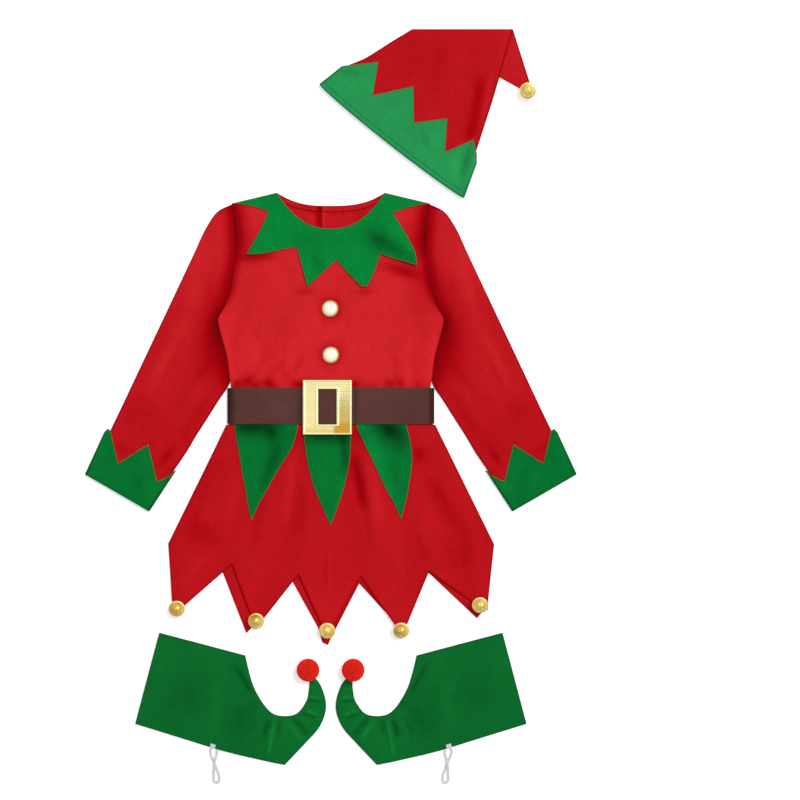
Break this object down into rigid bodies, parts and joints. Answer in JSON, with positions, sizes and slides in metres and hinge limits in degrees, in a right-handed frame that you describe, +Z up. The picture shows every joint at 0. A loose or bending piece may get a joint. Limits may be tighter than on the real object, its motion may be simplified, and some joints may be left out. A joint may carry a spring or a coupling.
{
  "type": "elf costume",
  "caption": "Child's elf costume laid flat: red dress with pointed green collar, buckled belt and skirt of points with bells, folded pointed hat, and curled-toe shoe covers with pompoms.",
  "frame": {"origin": "on the surface that the costume lies on, below the middle of the box round its cloth", "axes": "+X to the picture's right across the dress, +Y from the dress's hem to its neck, +Z up from the surface"},
  "size_m": [0.736, 1.1289, 0.0345],
  "materials": {
    "red_cloth": "matt red felt",
    "green_cloth": "matt green felt",
    "mint_cloth": "matt light green felt",
    "pine_cloth": "matt green felt",
    "brown_cloth": "matt dark brown felt",
    "buckle_gold": "gold plated plastic",
    "bell_gold": "polished gold",
    "pearl": "glossy cream",
    "red_wool": "fluffy red yarn",
    "white_elastic": "flat white elastic"
  },
  "bodies": {
    "root": {"collar_back_left": "green_cloth", "collar_back_right": "green_cloth", "bodice_back_left": "red_cloth", "bodice_back_right": "red_cloth", "neckband_left": "red_cloth", "neckband_right": "red_cloth", "sleeve_left": "red_cloth", "sleeve_right": "red_cloth", "cuff_left": "green_cloth", "cuff_right": "green_cloth", "bodice_front": "red_cloth", "collar_front": "green_cloth", "skirt_back": "red_cloth", "skirt_front": "red_cloth", "leaf_left": "green_cloth", "leaf_centre": "green_cloth", "leaf_right": "green_cloth", "belt": "brown_cloth", "buckle": "buckle_gold", "button_upper": "pearl", "button_lower": "pearl", "bell_hem_1": "bell_gold", "bell_hem_2": "bell_gold", "bell_hem_3": "bell_gold", "bell_hem_4": "bell_gold", "bell_hem_5": "bell_gold", "hat_brim": "mint_cloth", "hat_crown": "red_cloth", "hat_bell": "bell_gold", "shoe_left_under": "pine_cloth", "shoe_left_upper": "pine_cloth", "pompom_left": "red_wool", "elastic_left": "white_elastic", "shoe_right_under": "pine_cloth", "shoe_right_upper": "pine_cloth", "pompom_right": "red_wool", "elastic_right": "white_elastic"}
  },
  "joints": []
}
